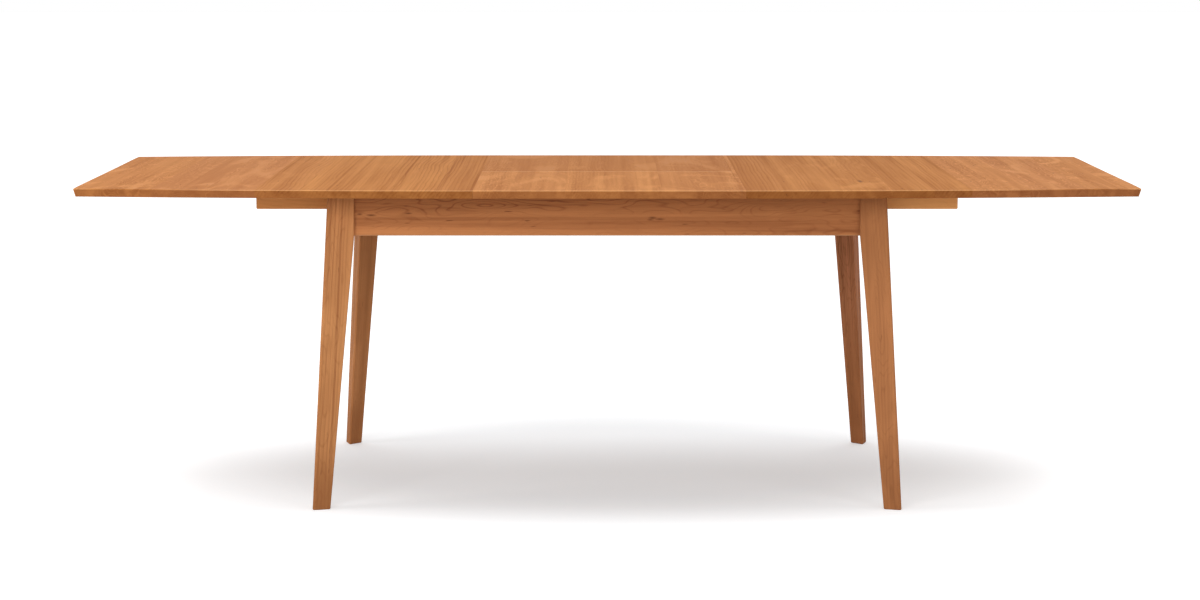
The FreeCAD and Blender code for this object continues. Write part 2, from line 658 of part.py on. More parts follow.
def build():
    os.makedirs("parts", exist_ok=True)
    for sx, hand in ((-1, "left"), (1, "right")):
        save("top_half_" + hand, with_screw_holes(top_half(sx), sx))
        save("apron_end_" + hand, end_apron(sx))
        save("leaf_bearer_" + hand, leaf_bearer(sx))
        save("runner_screws_" + hand, *runner_screws(sx))
        for which in ("fixed", "middle", "moving"):
            save("slide_" + which + "_" + hand, *slide_parts(which, sx))
        for sy, end in ((-1, "front"), (1, "rear")):
            save("leg_" + end + "_" + hand, leg(sx, sy))
            save("corner_brace_" + end + "_" + hand, corner_brace(sx, sy))
            save("runner_" + end + "_" + hand, runner(sx, sy))
    for sy, end in ((-1, "front"), (1, "rear")):
        save("apron_" + end, long_apron(sy))
        save("slide_rail_" + end, slide_rail(sy))
        save("leaf_" + end, leaf_half(sy))
        save("leaf_hinge_cups_" + end, *hinge_cups(sy))
    for leaf_y, end in zip(pivot_ys(), ("front", "rear")):
        save("swing_tube_" + end, swing_tube(leaf_y))
        save("swing_arms_" + end, *swing_arms(leaf_y))
    save("leaf_hinge_links", *hinge_links())
    save("leaf_brackets", *leaf_brackets())
    save("leaf_pins", *leaf_pins())
    save("pivot_brackets", *pivot_brackets())
    save("pivot_pins", *pivot_pins())
    save("leg_bolts", *leg_bolts())
    save("leg_washers", *leg_washers())
    save("leg_nuts", *leg_nuts())
    save("leaf_pads", *leaf_pads())
    save("stored_leaf_bumpers", *stored_leaf_bumpers())


build()
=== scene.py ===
"""Looks of a butterfly leaf table: oiled cherry, zinc-plated slides and black steel leaf arms."""
import bpy
import bmesh
import math
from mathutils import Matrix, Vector


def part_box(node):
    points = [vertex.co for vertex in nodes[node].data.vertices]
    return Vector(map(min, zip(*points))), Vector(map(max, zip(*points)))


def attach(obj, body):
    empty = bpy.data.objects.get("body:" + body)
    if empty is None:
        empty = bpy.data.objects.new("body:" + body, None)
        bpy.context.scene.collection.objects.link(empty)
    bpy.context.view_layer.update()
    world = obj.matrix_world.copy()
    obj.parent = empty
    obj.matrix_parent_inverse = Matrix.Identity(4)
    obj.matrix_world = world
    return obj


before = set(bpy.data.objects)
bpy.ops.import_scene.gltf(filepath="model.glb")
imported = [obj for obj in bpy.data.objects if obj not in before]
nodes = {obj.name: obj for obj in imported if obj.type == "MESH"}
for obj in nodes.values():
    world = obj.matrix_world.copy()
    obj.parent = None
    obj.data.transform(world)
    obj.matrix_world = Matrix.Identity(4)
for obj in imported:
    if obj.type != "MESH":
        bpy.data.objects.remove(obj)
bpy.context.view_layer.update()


# ---- top halves -------------------------------------------------------------------------------
# Each half is a glued-up panel of solid cherry boards whose grain runs across the table, sanded,
# eased along its outer edges and oiled. It is screwed to its two runners from below.

HANDS = ("left", "right")


def add(tree, kind, inputs=None, **settings):
    """A new node. Each input is given a value or the output that feeds it."""
    node = tree.nodes.new("ShaderNode" + kind)
    for name, value in settings.items():
        setattr(node, name, value)
    for key, value in (inputs or {}).items():
        if isinstance(value, bpy.types.NodeSocket):
            tree.links.new(value, node.inputs[key])
        else:
            node.inputs[key].default_value = value
    return node


def maths(tree, operation, *values):
    return add(tree, "Math", dict(enumerate(values)), operation=operation).outputs[0]


def times(tree, first, second):
    return maths(tree, "MULTIPLY", first, second)


def minus(tree, first, second):
    return maths(tree, "SUBTRACT", first, second)


def unsigned(tree, value):
    return maths(tree, "ABSOLUTE", value)


def between(tree, value, low, high, to_low=0.0, to_high=1.0, smooth=False):
    """A value carried from one range to another."""
    kind = "SMOOTHSTEP" if smooth else "LINEAR"
    node = add(tree, "MapRange", {0: value, 1: low, 2: high, 3: to_low, 4: to_high},
               interpolation_type=kind)
    return node.outputs[0]


def ranged(tree, share, at_none, at_full):
    """A number that follows a share of 0 to 1."""
    return between(tree, share, 0.0, 1.0, at_none, at_full)


def mix(tree, share, first, second, blend="MIX"):
    """A blend of two colours."""
    node = add(tree, "Mix", data_type="RGBA", blend_type=blend, clamp_factor=True)
    for socket, value in ((node.inputs[0], share), (node.inputs[6], first), (node.inputs[7], second)):
        if isinstance(value, bpy.types.NodeSocket):
            tree.links.new(value, socket)
        else:
            socket.default_value = value
    return node.outputs[2]


def dyed(tree, share, tone, dye):
    """The tone times a dye where the share is 1, and as it was where the share is 0."""
    return mix(tree, share, tone, mix(tree, 1.0, tone, dye, "MULTIPLY"))


def apart(tree, whole):
    return add(tree, "SeparateXYZ", {0: whole}).outputs


def vector(tree, x, y, z):
    return add(tree, "CombineXYZ", {0: x, 1: y, 2: z}).outputs[0]


def distance(tree, x, y, z):
    return add(tree, "VectorMath", {0: vector(tree, x, y, z)}, operation="LENGTH").outputs[1]


def stretched(tree, place, scale):
    """A place with its three directions scaled, for a noise that is drawn out along the grain."""
    return add(tree, "VectorMath", {0: place, 1: scale}, operation="MULTIPLY").outputs[0]


def noise(tree, place, scale, detail=2.0, rough=0.5):
    node = add(tree, "TexNoise", {"Vector": stretched(tree, place, scale), "Scale": 1.0,
                                  "Detail": detail, "Roughness": rough})
    return node.outputs["Fac"]


def evened(tree, place, scale, detail=2.0, rough=0.5):
    """A noise that swings about 0."""
    return minus(tree, noise(tree, place, scale, detail, rough), 0.5)


def group(name, takes, gives):
    """An empty node group and the sockets on its two inner ends."""
    tree = bpy.data.node_groups.new(name, "ShaderNodeTree")
    for label, kind, value in takes:
        socket = tree.interface.new_socket(label, in_out="INPUT", socket_type="NodeSocket" + kind)
        if value is not None:
            socket.default_value = value
    for label, kind in gives:
        tree.interface.new_socket(label, in_out="OUTPUT", socket_type="NodeSocket" + kind)
    return tree, tree.nodes.new("NodeGroupInput").outputs, tree.nodes.new("NodeGroupOutput").inputs


# Marks in a metre across a board, along its grain and through it.
PITH_SWAYS = (3.0, 1.3, 3.0)
PITH_DIPS = (2.0, 2.2, 5.0)
RING_WAVES = (60.0, 5.0, 60.0)
RING_PATCHES = (24.0, 0.6, 24.0)
FINE_LINES = (85.0, 0.40, 85.0)
BROAD_BANDS = (10.0, 0.6, 10.0)
STREAKS = (46.0, 0.9, 46.0)
FIBRES = (700.0, 14.0, 700.0)
FLAMES = (8.5, 2.5, 8.5)
HILLS = (17.0, 3.6, 17.0)           # their contour lines are the loops of flat-sawn wood
FLECKS = (170.0, 22.0, 170.0)
PORES = (1500.0, 300.0, 1500.0)

# The part of each noise over which its mark comes in.
PATCH_SHOWS, PATCH_LEAST = (0.36, 0.66), 0.05
FINE_LINE_SHOWS = (0.60, 0.72)
FLAME_SHOWS = (0.50, 0.78)
FLECK_SHOWS = (0.74, 0.80)
PORE_SHOWS = (0.45, 0.75)

# How far each mark takes the tone from pale, 0, towards deep, 1.
PLAIN_TONE = 0.40
STREAK_TONE = 1.18
BAND_TONE = 0.7
LINE_TONE = 0.50
FIBRE_TONE = 0.25
FLAME_TONE = -0.58
SPOT_TONE = 0.8
PORE_TONE = 0.10

RING_WAVE = 0.7                     # in rings
LATE_WOOD = 3.0                     # power by which a ring darkens towards its outer edge
RING_EDGE = 0.93                    # where the dark outer edge of a ring begins to fade
HILL_LINES = 17.0                   # contour lines on a hill
HILL_LINE_HALF = 0.16               # half the width of one, in the space between two
FLAME_BEND = 1.7
SEED_STEP_ACROSS, SEED_STEP_ALONG = 13.7, 5.3
GUM = (0.13, 0.045, 0.02, 1)
PORE = (0.20, 0.08, 0.03, 1)
END_GRAIN_DYE = (0.58, 0.51, 0.60, 1)
# the paler tone of the painted highlight along eased edges and along the leaf's fold
HIGHLIGHT_PALER = (0.30, 0.26, 0.18, 1)
WOOD_ROUGH = 0.50
DEEP_ROUGHER = 0.10
END_GRAIN_ROUGHER = 0.15
FIBRE_RISE = 0.6
RING_RISE = -0.3


def grain_group():
    """Cherry cut from a log: rings around a wandering pith, streaks, fibres, flame and gum flecks.

    Place is in the board's own directions: X across the face, Y along the grain, Z through it.
    """
    tree, given, out = group("cherry_grain", [
        ("Place", "Vector", None), ("Seed", "Float", 0.0), ("Pith Side", "Float", 0.05),
        ("Pith Depth", "Float", 0.08), ("Wander", "Float", 0.03), ("Ring", "Float", 0.006),
        ("Stripe", "Float", 0.5), ("Flame", "Float", 0.3), ("Flecks", "Float", 0.3),
        ("Contour", "Float", 0.0), ("Spots", "Float", 0.0), ("Worn", "Float", 0.0),
        ("End Grain", "Float", 0.0), ("Pale", "Color", (0.7, 0.35, 0.14, 1)),
        ("Deep", "Color", (0.36, 0.14, 0.05, 1))],
        [("Color", "Color"), ("Roughness", "Float"), ("Height", "Float")])
    seed = vector(tree, times(tree, given["Seed"], SEED_STEP_ACROSS),
                  times(tree, given["Seed"], SEED_STEP_ALONG), given["Seed"])
    spot = add(tree, "VectorMath", {0: given["Place"], 1: seed}, operation="ADD").outputs[0]

    across, _, through = apart(tree, given["Place"])
    sway = evened(tree, spot, PITH_SWAYS, 1.0)
    dip = evened(tree, spot, PITH_DIPS, 2.0)
    pith_side = maths(tree, "MULTIPLY_ADD", sway, given["Wander"], given["Pith Side"])
    pith_depth = maths(tree, "MULTIPLY_ADD", dip, given["Wander"], given["Pith Depth"])
    radius = distance(tree, minus(tree, across, pith_side), 0.0, maths(tree, "ADD", through, pith_depth))
    turns = maths(tree, "DIVIDE", radius, given["Ring"])
    phase = maths(tree, "MULTIPLY_ADD", noise(tree, spot, RING_WAVES, 2.0), RING_WAVE, turns)
    phase = maths(tree, "FRACT", phase)
    line = times(tree, maths(tree, "POWER", phase, LATE_WOOD), between(tree, phase, RING_EDGE, 1.0, 1.0, 0.0))
    strength = between(tree, noise(tree, spot, RING_PATCHES, 2.0), *PATCH_SHOWS, PATCH_LEAST, 1.0)
    ring = times(tree, times(tree, line, strength), given["Stripe"])

    fine_line = between(tree, noise(tree, spot, FINE_LINES, 1.0), *FINE_LINE_SHOWS)
    fine_line = times(tree, fine_line, given["Stripe"])
    band = evened(tree, spot, BROAD_BANDS, 1.0)
    streak = evened(tree, spot, STREAKS, 3.0, 0.6)
    fibre = evened(tree, spot, FIBRES, 2.0, 0.6)
    bent = add(tree, "TexNoise", {"Vector": stretched(tree, spot, FLAMES), "Scale": 1.0, "Detail": 1.5,
                                  "Distortion": FLAME_BEND}).outputs["Fac"]
    flame = times(tree, between(tree, bent, *FLAME_SHOWS, smooth=True), given["Flame"])
    rise = maths(tree, "FRACT", times(tree, noise(tree, spot, HILLS, 2.0), HILL_LINES))
    contour = between(tree, unsigned(tree, minus(tree, rise, 0.5)), 0.0, HILL_LINE_HALF, 1.0, 0.0)
    contour = times(tree, times(tree, contour, strength), given["Contour"])

    deep = maths(tree, "MULTIPLY_ADD", streak, STREAK_TONE, PLAIN_TONE)
    deep = maths(tree, "MULTIPLY_ADD", band, BAND_TONE, deep)
    deep = maths(tree, "ADD", maths(tree, "ADD", deep, ring), contour)
    for mark, tone in ((fine_line, LINE_TONE), (fibre, FIBRE_TONE), (flame, FLAME_TONE)):
        deep = maths(tree, "MULTIPLY_ADD", mark, tone, deep)
    colour = mix(tree, deep, given["Pale"], given["Deep"])
    fleck = times(tree, between(tree, noise(tree, spot, FLECKS, 1.0), *FLECK_SHOWS), given["Flecks"])
    fleck = maths(tree, "MAXIMUM", fleck, times(tree, given["Spots"], SPOT_TONE))
    colour = mix(tree, fleck, colour, GUM)
    pores = between(tree, noise(tree, spot, PORES, 1.0), *PORE_SHOWS)
    colour = mix(tree, times(tree, pores, PORE_TONE), colour, PORE)
    colour = dyed(tree, given["End Grain"], colour, END_GRAIN_DYE)
    # Painted highlight: the colour is lifted towards white along eased edges and the fold.
    colour = mix(tree, given["Worn"], colour, mix(tree, 1.0, colour, HIGHLIGHT_PALER, "ADD"))
    tree.links.new(colour, out["Color"])

    rough = maths(tree, "MULTIPLY_ADD", deep, DEEP_ROUGHER, WOOD_ROUGH)
    rough = maths(tree, "MULTIPLY_ADD", given["End Grain"], END_GRAIN_ROUGHER, rough)
    tree.links.new(rough, out["Roughness"])
    height = maths(tree, "MULTIPLY_ADD", fibre, FIBRE_RISE, times(tree, ring, RING_RISE))
    tree.links.new(height, out["Height"])
    return tree


GRAIN = grain_group()
WOOD_BUMP = 0.00012
OILED_GLOSS = 0.02


def material(name):
    """A material, its tree, its Principled shader and its texture coordinates."""
    made = bpy.data.materials.new(name)
    made.use_nodes = True
    tree = made.node_tree
    return made, tree, tree.nodes["Principled BSDF"], tree.nodes.new("ShaderNodeTexCoord").outputs


def wood(tree, shader, place, **looks):
    """Feeds the shader from the grain group. The looks are named as the group's inputs."""
    grain = add(tree, "Group", {"Place": place}, node_tree=GRAIN)
    for look, value in looks.items():
        socket = grain.inputs[look.replace("_", " ")]
        if isinstance(value, bpy.types.NodeSocket):
            tree.links.new(value, socket)
        else:
            socket.default_value = value
    tree.links.new(grain.outputs["Color"], shader.inputs["Base Color"])
    tree.links.new(grain.outputs["Roughness"], shader.inputs["Roughness"])
    bump = add(tree, "Bump", {"Height": grain.outputs["Height"], "Distance": WOOD_BUMP, "Strength": 1.0})
    tree.links.new(bump.outputs[0], shader.inputs["Normal"])
    shader.inputs["Specular IOR Level"].default_value = OILED_GLOSS


# How level or upright a face is, as the size of one part of its normal.
END_FACING = (0.80, 0.95)
EASED_FROM, EASED_TO = (0.45, 0.60), (0.95, 0.80)
SPOT_BLUR = (1.2, 0.2)              # in half sizes from the middle of a spot


def end_grain(tree, coords, axis):
    """1 on faces that look along the grain, 0 on the others."""
    facing = apart(tree, coords["Normal"])[axis]
    return between(tree, unsigned(tree, facing), *END_FACING)


def edge_highlight(tree, coords, amount):
    """Marks the eased edges between level and upright faces for a painted highlight, a paler tone where they
    catch the light.
    """
    level = unsigned(tree, apart(tree, coords["Normal"])[2])
    edge = times(tree, between(tree, level, *EASED_FROM), between(tree, level, *EASED_TO))
    return times(tree, edge, amount)


def spots(tree, across, along, gum):
    """Dark gum spots in the wood. A spot is its place across and along and its two half sizes."""
    total = 0.0
    for spot_across, spot_along, half_across, half_along in gum:
        off_across = maths(tree, "DIVIDE", minus(tree, across, spot_across), half_across)
        off_along = maths(tree, "DIVIDE", minus(tree, along, spot_along), half_along)
        away = distance(tree, off_across, off_along, 0.0)
        total = maths(tree, "MAXIMUM", total, between(tree, away, *SPOT_BLUR))
    return total


TOP_LENGTH = 2.438                  # of the whole top, leaf included
TOP_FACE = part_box("leaf_front")[1].z
SEAM_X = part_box("top_half_right")[0].x
FOLD_HALF = 0.0030                  # half the band of painted highlight where the two leaf halves meet
FOLD_HIGHLIGHT = 0.75
FOLD_BLUR, SEAM_BLUR = 0.0004, 0.0005
RIGHT_SHADE_START, RIGHT_SHADE_LEAST = -0.10, 0.72        # painted shade: the end grain is darker towards the right, where less light falls
BOARD_SEED_STEP, BOARD_SEED_REACH = 0.37, 9.0
TOP_EDGE_HIGHLIGHT = 0.40
TOP_GUM = ((0.594, -0.270, 0.0060, 0.034),)
GOLDEN, GOLDEN_DEEP = (0.680, 0.280, 0.066, 1), (0.345, 0.112, 0.022, 1)
PINK, PINK_DEEP = (0.685, 0.283, 0.090, 1), (0.370, 0.125, 0.036, 1)
RIPE_DYE = (0.69, 0.61, 0.48, 1)


def panel(name, boards):
    """Boards glued side by side along X. A board is its left joint and four looks, each 0 to 1:
    pink against golden, strength of its stripes, flat-sawn against straight, and how deep."""
    made, tree, shader, coords = material(name)
    x, y, z = apart(tree, coords["Object"])
    share = between(tree, x, -TOP_LENGTH / 2, TOP_LENGTH / 2)
    ramps = [add(tree, "ValToRGB", {0: share}) for _ in range(2)]
    for ramp in ramps:
        ramp.color_ramp.interpolation = "CONSTANT"
        for _ in boards[2:]:
            ramp.color_ramp.elements.new(0.5)
    rights = [board[0] for board in boards[1:]] + [TOP_LENGTH / 2]
    for i, (left, pinkness, striping, flatness, depth) in enumerate(boards):
        middle = (left + rights[i]) / 2 / TOP_LENGTH + 0.5
        board_seed = (i * BOARD_SEED_STEP) % 1.0
        for ramp, looks in zip(ramps, ((pinkness, striping, flatness), (middle, depth, board_seed))):
            stop = ramp.color_ramp.elements[i]
            stop.position = max(0.0, left / TOP_LENGTH + 0.5)
            stop.color = (*looks, 1.0)
    pink, stripe, flat = apart(tree, ramps[0].outputs[0])
    middle, deep, seed = apart(tree, ramps[1].outputs[0])
    centre = times(tree, minus(tree, middle, 0.5), TOP_LENGTH)

    pale = dyed(tree, deep, mix(tree, pink, GOLDEN, PINK), RIPE_DYE)
    # Painted highlight along the fold where the leaf halves meet and along the top's eased edges.
    along_fold = between(tree, unsigned(tree, y), FOLD_HALF + FOLD_BLUR, FOLD_HALF - FOLD_BLUR)
    on_leaf = between(tree, unsigned(tree, x), SEAM_X + SEAM_BLUR, SEAM_X - SEAM_BLUR)
    fold = times(tree, times(tree, along_fold, on_leaf), FOLD_HIGHLIGHT)
    # Painted shade: the end grain darkens towards the right end of the top.
    right_shade = between(tree, x, RIGHT_SHADE_START, TOP_LENGTH / 2, RIGHT_SHADE_LEAST, 1.0)
    wood(tree, shader, vector(tree, minus(tree, x, centre), y, minus(tree, z, TOP_FACE)),
         Seed=times(tree, seed, BOARD_SEED_REACH),
         Pith_Side=ranged(tree, flat, 0.16, 0.01), Pith_Depth=ranged(tree, flat, 0.13, 0.055),
         Wander=ranged(tree, flat, 0.02, 0.06), Ring=ranged(tree, flat, 0.0075, 0.005),
         Stripe=ranged(tree, stripe, 0.08, 0.75), Flame=ranged(tree, flat, 0.10, 1.3),
         Contour=between(tree, flat, 0.2, 1.0, 0.0, -0.60),
         Worn=maths(tree, "MAXIMUM", edge_highlight(tree, coords, TOP_EDGE_HIGHLIGHT), fold),
         Spots=spots(tree, x, y, TOP_GUM), Flecks=0.5,
         End_Grain=times(tree, end_grain(tree, coords, 1), right_shade),
         Pale=pale, Deep=mix(tree, pink, GOLDEN_DEEP, PINK_DEEP))
    return made


def dress(node, made):
    """Gives a CAD node its material."""
    piece = nodes[node]
    piece.data.materials.clear()
    piece.data.materials.append(made)


TOP_BOARDS = [
    (-1.219, 0.65, 0.15, 1.0, 0.30), (-1.040, 0.95, 0.20, 1.0, 0.50), (-0.915, 0.95, 0.20, 0.9, 0.46),
    (-0.806, 0.35, 0.60, 0.2, 0.30), (-0.700, 0.15, 0.60, 0.0, 0.12), (-0.590, 0.10, 0.75, 0.0, 0.22),
    (-0.480, 0.10, 0.80, 0.1, 0.14), (-0.395, 0.20, 0.80, 0.0, 0.30), (-0.305, 0.60, 0.25, 0.8, 0.28),
    (-0.104, 0.50, 0.30, 0.6, 0.22), (0.118, 0.65, 0.30, 0.9, 0.32), (0.305, 0.20, 0.85, 0.0, 0.64),
    (0.415, 0.15, 0.80, 0.2, 0.50), (0.530, 0.15, 0.60, 0.6, 0.44), (0.640, 0.10, 0.85, 0.0, 0.50),
    (0.735, 0.20, 0.45, 0.2, 0.16), (0.823, 0.75, 0.20, 0.9, 0.08), (0.960, 0.95, 0.20, 1.0, 0.24),
    (1.090, 0.75, 0.15, 1.0, 0.10),
]
top_wood = panel("cherry_top", TOP_BOARDS)
for hand in HANDS:
    dress("top_half_" + hand, top_wood)


# ---- leaf -------------------------------------------------------------------------------------
# Two panels of boards like those of the halves, flatter sawn and pinker, hinged together along the
# table's long middle line. Their boards lie across the table as well, so the figure runs over the
# fold. The rear panel has darkened a little more.

REAR_DEEPER = 0.45
rear_boards = [(*board[:4], board[4] + REAR_DEEPER) for board in TOP_BOARDS]
dress("leaf_front", top_wood)
dress("leaf_rear", panel("cherry_leaf_rear", rear_boards))


# ---- legs -------------------------------------------------------------------------------------
# Solid cherry, each sawn tapered, moulded to a rounded triangle and sanded; the grain runs down
# the leg. The head stays square inside, where the aprons butt against it.

ENDS = ("front", "rear")
TOP_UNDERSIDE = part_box("top_half_right")[0].z
LEG_SPLAY = 0.038
LEG_LEAN = LEG_SPLAY / TOP_UNDERSIDE
HEAD_X, HEAD_Y = 0.62, 0.38         # a place inside the head of a leg, from which its grain is laid out
LEG_SEED_HAND, LEG_SEED_STEP = 1.7, 2.3
CLEAR_MIDDLE = 0.1                  # no leg stands this near to the middle of the table
LEFT_LEG, LEFT_LEG_DEEP = (0.71, 0.320, 0.122, 1), (0.34, 0.124, 0.045, 1)
RIGHT_LEG, RIGHT_LEG_DEEP = (0.615, 0.2507, 0.0973, 1), (0.25, 0.090, 0.034, 1)
# painted shade on the head of the front right leg, painted light on the head of the rear right leg
FRONT_HEAD_SHADE, REAR_HEAD_LIGHT = (0.74, 0.74, 0.72, 1), (1.38, 1.42, 1.70, 1)
REAR_LEG_DYE = (0.90, 0.87, 0.89, 1)
# painted shade towards the feet, full on the front left leg and less on the others
FOOT_SHADE_COLOUR = (0.66, 0.62, 0.60, 1)
FOOT_SHADE_RIGHT, FOOT_SHADE_REAR = 0.3, 0.65
FOOT_SHADE_HEIGHTS = (0.16, 0.04)
FRONT_HEAD_HEIGHTS, REAR_HEAD_HEIGHTS = (0.40, 0.70), (0.16, 0.44)


def leg_wood():
    """The right legs are riper wood. Painted shade darkens the head of the front right leg, under the top,
    and the feet; a painted light brightens the head of the rear right leg.
    """
    made, tree, shader, coords = material("cherry_legs")
    x, y, z = apart(tree, coords["Object"])
    lean = times(tree, minus(tree, z, TOP_UNDERSIDE), -LEG_LEAN)
    across = minus(tree, minus(tree, unsigned(tree, x), HEAD_X), lean)
    through = minus(tree, minus(tree, unsigned(tree, y), HEAD_Y), lean)
    seed = maths(tree, "MULTIPLY_ADD", maths(tree, "SIGN", x), LEG_SEED_HAND, maths(tree, "SIGN", y))
    right = between(tree, x, -CLEAR_MIDDLE, CLEAR_MIDDLE)
    rear = between(tree, y, -CLEAR_MIDDLE, CLEAR_MIDDLE)

    pale = mix(tree, right, LEFT_LEG, RIGHT_LEG)
    # Painted shade darkens the head of the front right leg under the top; painted light brightens the head of
    # the rear right leg.
    heights = [ranged(tree, rear, *pair) for pair in zip(FRONT_HEAD_HEIGHTS, REAR_HEAD_HEIGHTS)]
    head = times(tree, between(tree, z, *heights, smooth=True), right)
    pale = dyed(tree, head, pale, mix(tree, rear, FRONT_HEAD_SHADE, REAR_HEAD_LIGHT))
    pale = dyed(tree, rear, pale, REAR_LEG_DYE)
    # Painted shade on the lower end of each leg.
    foot_shade_share = ranged(tree, right, 1.0, FOOT_SHADE_RIGHT)
    foot_shade_share = maths(tree, "MULTIPLY_ADD", rear, minus(tree, FOOT_SHADE_REAR, foot_shade_share), foot_shade_share)
    foot_shade = times(tree, between(tree, z, *FOOT_SHADE_HEIGHTS, smooth=True), foot_shade_share)
    wood(tree, shader, vector(tree, across, z, through), Seed=times(tree, seed, LEG_SEED_STEP),
         Pith_Side=0.10, Pith_Depth=0.05, Wander=0.03, Ring=0.005, Stripe=0.42, Flame=0.45, Flecks=0.40,
         Contour=0.24, End_Grain=end_grain(tree, coords, 2), Pale=dyed(tree, foot_shade, pale, FOOT_SHADE_COLOUR),
         Deep=mix(tree, right, LEFT_LEG_DEEP, RIGHT_LEG_DEEP))
    return made


cherry_legs = leg_wood()
for end in ENDS:
    for hand in HANDS:
        dress(f"leg_{end}_{hand}", cherry_legs)


# ---- aprons -----------------------------------------------------------------------------------
# Plain flat-sawn cherry boards on edge, with the grain along each apron. The long ones have a few
# gum spots near their left end and right of their middle.

APRON_MIDDLE = (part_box("apron_front")[0].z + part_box("apron_front")[1].z) / 2
# strength of the painted highlight along the boards' eased edges
BOARD_EDGE_HIGHLIGHT = 0.3
ALONG_X, ALONG_Y = 0, 1


def board_wood(name, along, seed, gum=(), **looks):
    """A board whose faces stand upright and whose grain runs along X or Y. A gum spot is its height,
    its place along the board and its two half sizes."""
    made, tree, shader, coords = material(name)
    way = apart(tree, coords["Object"])
    through = unsigned(tree, way[1 - along])
    values = dict(Seed=seed, Pith_Side=0.01, Pith_Depth=-0.33, Wander=0.035, Ring=0.0045, Stripe=0.28,
                  Flame=0.18, Flecks=0.8, Contour=0.5, Pale=(0.62, 0.250, 0.092, 1),
                  Deep=(0.27, 0.090, 0.033, 1), Worn=edge_highlight(tree, coords, BOARD_EDGE_HIGHLIGHT),
                  Spots=spots(tree, way[2], way[along], gum), End_Grain=end_grain(tree, coords, along))
    values.update(looks)
    wood(tree, shader, vector(tree, minus(tree, way[2], APRON_MIDDLE), way[along], through), **values)
    return made


APRON_GUM = (
    (0.6795, -0.545, 0.0030, 0.012), (0.6820, -0.572, 0.0025, 0.007), (0.6840, -0.459, 0.0022, 0.009),
    (0.6735, 0.105, 0.0035, 0.010), (0.6705, 0.122, 0.0025, 0.012), (0.6690, 0.100, 0.0020, 0.008),
)
long_apron_wood = board_wood("cherry_aprons", ALONG_X, 3.1, APRON_GUM)
end_apron_wood = board_wood("cherry_aprons_end", ALONG_Y, 5.9, Pith_Depth=-0.56)
for end in ENDS:
    dress("apron_" + end, long_apron_wood)
for hand in HANDS:
    dress("apron_end_" + hand, end_apron_wood)


# ---- runners ----------------------------------------------------------------------------------
# Straight bars of pale cherry under the halves, counterbored for the screws that hold them to the top.
# The right ones are paler still, a painted light against the shade of the right leg and the weak right lamp.

RUNNER_TONES_AND_LIGHT = {
    "left": {"Pale": (0.82, 0.375, 0.130, 1), "Deep": (0.56, 0.225, 0.070, 1)},
    # painted light: the right runners are paler, standing for light they don't get
    "right": {"Pale": (1.0, 0.520, 0.195, 1), "Deep": (0.86, 0.400, 0.140, 1)},
}
for hand, tones in RUNNER_TONES_AND_LIGHT.items():
    runner_wood = board_wood("cherry_runners_" + hand, ALONG_X, 8.4, Pith_Depth=-0.25, Pith_Side=0.06,
                             Stripe=0.45, Flecks=0.3, Contour=0.2, **tones)
    for end in ENDS:
        dress(f"runner_{end}_{hand}", runner_wood)


# ---- slides and runner screws -----------------------------------------------------------------
# Rolled and pressed steel with bright zinc plating; faint rolling lines and a little dulling. The
# tracks are screwed to their rails every 95 mm.

METAL_BUMP = 0.00003
DULL_SPOTS = (25.0, 25.0, 25.0)     # in a metre
LINE_SHARE, SPOT_SHARE = 0.6, 0.4
MARKS_SHOW = (0.2, 0.8)
DULLED = 0.82


def metal(name, colour, rough, metallic=1.0, lines=(4.0, 180.0, 180.0), spread=0.12):
    """Metal with marks that are drawn out by the lines in a metre along X, Y and Z."""
    made, tree, shader, coords = material(name)
    marks = noise(tree, coords["Object"], lines, 3.0)
    cloud = noise(tree, coords["Object"], DULL_SPOTS, 3.0)
    both = maths(tree, "MULTIPLY_ADD", marks, LINE_SHARE, times(tree, cloud, SPOT_SHARE))
    dulled = tuple(part * DULLED for part in colour)
    tree.links.new(mix(tree, both, (*dulled, 1), (*colour, 1)), shader.inputs["Base Color"])
    tree.links.new(between(tree, both, *MARKS_SHOW, rough - spread / 2, rough + spread / 2),
                   shader.inputs["Roughness"])
    bump = add(tree, "Bump", {"Height": marks, "Distance": METAL_BUMP, "Strength": 0.6})
    tree.links.new(bump.outputs[0], shader.inputs["Normal"])
    shader.inputs["Metallic"].default_value = metallic
    return made


zinc = metal("zinc_steel", (0.66, 0.67, 0.68), 0.32)
for hand in HANDS:
    for member in ("fixed", "middle", "moving"):
        dress(f"slide_{member}_{hand}", zinc)
    dress("runner_screws_" + hand, zinc)

# Painted shade: the walls and floor of each screw's cross recess are dark grey, standing for the shade inside
# it.
recess = metal("recess", (0.10, 0.10, 0.10), 0.6, 0.6)
SIDES = 24                          # of a screw head or a bolt
CROSS_ARM, CROSS_HALF = 0.46, 0.11  # length and half width of a recess's arm, in head radii
RECESS_FLOOR = 0.3                  # height of the floor of a recess, in head heights
DOME = ((1.0, 0.0), (1.0, 0.3), (0.88, 0.75), (0.62, 1.0))      # radii and heights up a head
CORNERS = [(sx, sy) for sx in (-1, 1) for sy in (-1, 1)]


def circle(sides):
    angles = [i * math.tau / sides for i in range(sides)]
    return [(math.cos(angle), math.sin(angle)) for angle in angles]


def fit(name, shape, body, slot, *finishes):
    """Puts a finished shape into the scene as a piece that moves with a body."""
    bmesh.ops.recalc_face_normals(shape, faces=shape.faces)
    mesh = bpy.data.meshes.new(name)
    shape.to_mesh(mesh)
    shape.free()
    for made in finishes:
        mesh.materials.append(made)
    piece = bpy.data.objects.new(name, mesh)
    bpy.context.collection.objects.link(piece)
    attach(piece, body)


